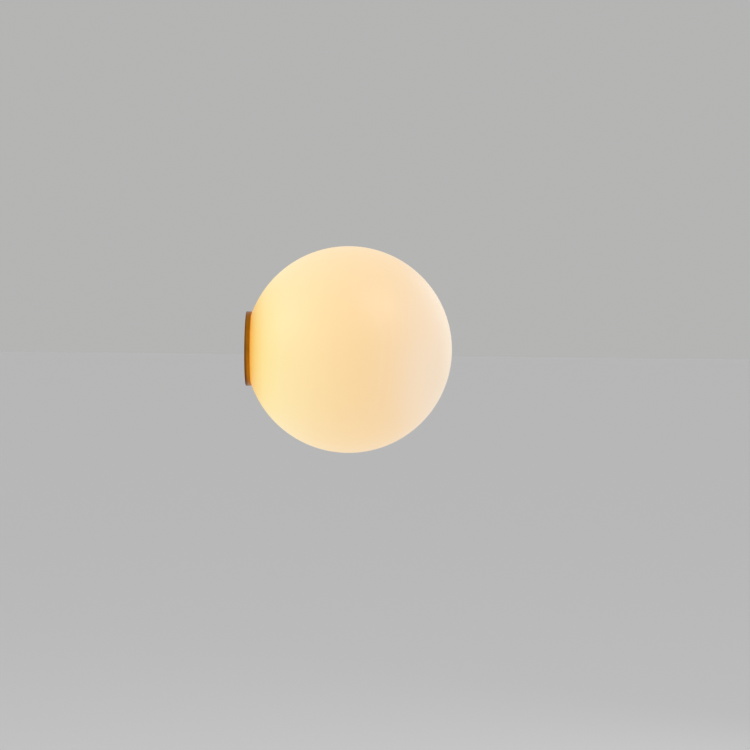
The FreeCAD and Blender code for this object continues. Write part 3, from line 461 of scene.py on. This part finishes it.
def light_board():
    """The lamp's white board with yellow chips: a chip is what stands proud of the post's faces."""
    finish = Finish("light_board", (0.85, 0.84, 0.80), 0.45, emission_strength=1.0)
    x, _, z = finish.split()
    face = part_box("lamp_core")[1].x / MM - CHIP_MARGIN
    out = finish.math("MAXIMUM", finish.math("ABSOLUTE", x), finish.math("ABSOLUTE", z))
    chip = finish.math("GREATER_THAN", out, face)
    board = finish.blended(finish.noise(1.5), (0.74, 0.73, 0.69), (0.86, 0.85, 0.81))
    finish.feed("Base Color", finish.blended(chip, board, (0.92, 0.66, 0.12)))
    finish.feed("Emission Color", finish.blended(chip, (0.10, 0.08, 0.05), (1.0, 0.82, 0.45)))
    finish.relief(finish.noise(0.3), 0.004)
    return finish.material


def dress_nodes():
    """Gives every CAD node its finish."""
    zinc, pale_zinc, yellow_zinc = (0.60, 0.62, 0.64), (0.66, 0.67, 0.68), (0.64, 0.58, 0.42)
    ivory, white = (0.80, 0.78, 0.71), (0.84, 0.84, 0.82)
    earth_low, earth_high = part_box("earth_screw")
    earth = ((earth_low.x + earth_high.x) / 2 / MM, (earth_low.z + earth_high.z) / 2 / MM)
    finishes = {
        "opal_globe": opal_glass(),
        "brass_base": spun_brass(),
        "globe_gasket": rubbery("clear_silicone", (0.66, 0.66, 0.62), (0.76, 0.76, 0.73)),
        "wall_plate": galvanised_sheet(),
        "plate_standoffs": plated_steel("turned_standoff", zinc, 0.28),
        "base_screws": plated_steel("base_screw_zinc", pale_zinc, 0.24),
        "base_washers": plated_steel("washer_zinc", zinc, 0.34),
        "hollow_nipple": plated_steel("nipple_zinc", yellow_zinc, 0.3, thread_pitch=NIPPLE_THREAD),
        "cable_bush": moulded("bush_nylon", ivory, 0.42),
        "nipple_back_nut": plated_steel("back_nut_zinc", yellow_zinc, 0.34),
        "nipple_front_nut": plated_steel("front_nut_zinc", yellow_zinc, 0.34),
        "nipple_washer": plated_steel("lock_washer_phosphate", (0.34, 0.35, 0.36), 0.42),
        "globe_spring": spring_strip(),
        "holder_bracket": plated_steel("bracket_zinc", zinc, 0.36),
        "lampholder_body": steatite(),
        "lampholder_contacts": plated_steel("contact_nickel", (0.70, 0.66, 0.56), 0.24),
        "lampholder_screws": plated_steel("holder_screw_zinc", pale_zinc, 0.26),
        "terminal_block": moulded("block_polyamide", ivory, 0.46),
        "terminal_sleeves": plain_brass("sleeve_brass"),
        "terminal_screws": plated_steel("clamp_screw_zinc", zinc, 0.3),
        "terminal_block_screw": plated_steel("block_screw_zinc", pale_zinc, 0.28),
        "earth_screw": plain_brass("earth_screw_brass", earth),
        "earth_washer": plain_brass("earth_washer_brass", earth),
        "earth_nut": plain_brass("earth_nut_brass", earth),
        "lamp_base": moulded("lamp_collar", white, 0.3, clear=0.4),
        "lamp_pins": plated_steel("pin_tin", (0.70, 0.69, 0.66), 0.26),
        "lamp_core": light_board(),
        "lamp_cover": frosted_cover(),
        "lead_live": rubbery("brown_silicone", (0.11, 0.045, 0.02), (0.16, 0.07, 0.03), 0.48),
        "lead_neutral": rubbery("blue_silicone", (0.02, 0.07, 0.26), (0.035, 0.11, 0.36), 0.48),
    }
    for name, material in finishes.items():
        for slot in NODES[name].material_slots:
            slot.material = material


# ---------------------------------------------------------------- camera, light and floor


def camera():
    """Level with the ball, straight from the side, as far off as the ball's size in the photograph asks."""
    slope = GLOBE_PIXEL_RADIUS / PIXELS_PER_SLOPE
    distance = GLOBE_RADIUS * math.sqrt(1 + 1 / slope**2)
    middle = Vector((FRAME_PIXELS / 2, FRAME_PIXELS / 2))
    upright = Matrix.Rotation(-CAMERA_ROLL, 2) @ (middle - Vector(GLOBE_PIXEL))
    turn = math.atan(upright.x / PIXELS_PER_SLOPE)
    dip = math.atan(upright.y / PIXELS_PER_SLOPE)
    data = bpy.data.cameras.new("camera")
    data.lens = LENS
    data.sensor_width = SENSOR
    made = bpy.data.objects.new("camera", data)
    made.location = GLOBE_CENTRE - Vector((distance, 0, 0))
    facing = Euler((math.pi / 2 - dip, 0, -math.pi / 2 - turn)).to_matrix()
    rolled = Euler((0, 0, CAMERA_ROLL)).to_matrix()
    made.rotation_euler = (facing @ rolled).to_euler()
    bpy.context.scene.collection.objects.link(made)
    bpy.context.scene.camera = made


def soft_light(name, place, size, power):
    data = bpy.data.lights.new(name, "AREA")
    data.shape = "DISK"
    data.size = size
    data.energy = power
    made = bpy.data.objects.new(name, data)
    made.location = place
    made.rotation_euler = (GLOBE_CENTRE - Vector(place)).to_track_quat("-Z", "Y").to_euler()
    bpy.context.scene.collection.objects.link(made)


def seen_directly(tree):
    """One for rays from the camera, off gloss or through glass, and zero for all others."""
    rays = tree.nodes.new("ShaderNodeLightPath").outputs
    seen = rays["Is Camera Ray"]
    for name in ("Is Glossy Ray", "Is Transmission Ray"):
        either = tree.nodes.new("ShaderNodeMath")
        either.operation = "MAXIMUM"
        tree.links.new(seen, either.inputs[0])
        tree.links.new(rays[name], either.inputs[1])
        seen = either.outputs[0]
    return seen


def world():
    """An even dome of light, which the camera, metal and glass see in the background's tone."""
    made = bpy.data.worlds.new("studio")
    made.use_nodes = True
    tree = made.node_tree
    shown = tree.nodes["Background"]
    shown.inputs["Color"].default_value = (*BACKGROUND, 1.0)
    dome = tree.nodes.new("ShaderNodeBackground")
    dome.inputs["Color"].default_value = (1.0, 1.0, 1.0, 1.0)
    dome.inputs["Strength"].default_value = DOME_LIGHT
    mix = tree.nodes.new("ShaderNodeMixShader")
    tree.links.new(seen_directly(tree), mix.inputs["Fac"])
    tree.links.new(dome.outputs[0], mix.inputs[1])
    tree.links.new(shown.outputs[0], mix.inputs[2])
    tree.links.new(mix.outputs[0], tree.nodes["World Output"].inputs["Surface"])
    bpy.context.scene.world = made


def floor():
    """A plain floor, which lights the room a little more than it shows."""
    bpy.ops.mesh.primitive_circle_add(
        vertices=FLOOR_SIDES, radius=FLOOR_RADIUS, fill_type="NGON", location=(0, 0, -FLOOR_DROP)
    )
    made = bpy.context.object
    made.name = "floor"
    shown, bounced = (FLOOR_TONE,) * 3, (FLOOR_BOUNCE,) * 3
    finish = Finish("pale_floor", shown, 0.9)
    finish.feed("Base Color", finish.blended(seen_directly(finish.tree), bounced, shown))
    made.data.materials.append(finish.material)


def main():
    camera()
    world()
    floor()
    soft_light("key", **KEY_LIGHT)
    soft_light("fill", **FILL_LIGHT)
    soft_light("back", **BACK_LIGHT)
    bpy.context.scene.view_settings.view_transform = "Standard"
    dress_nodes()


main()
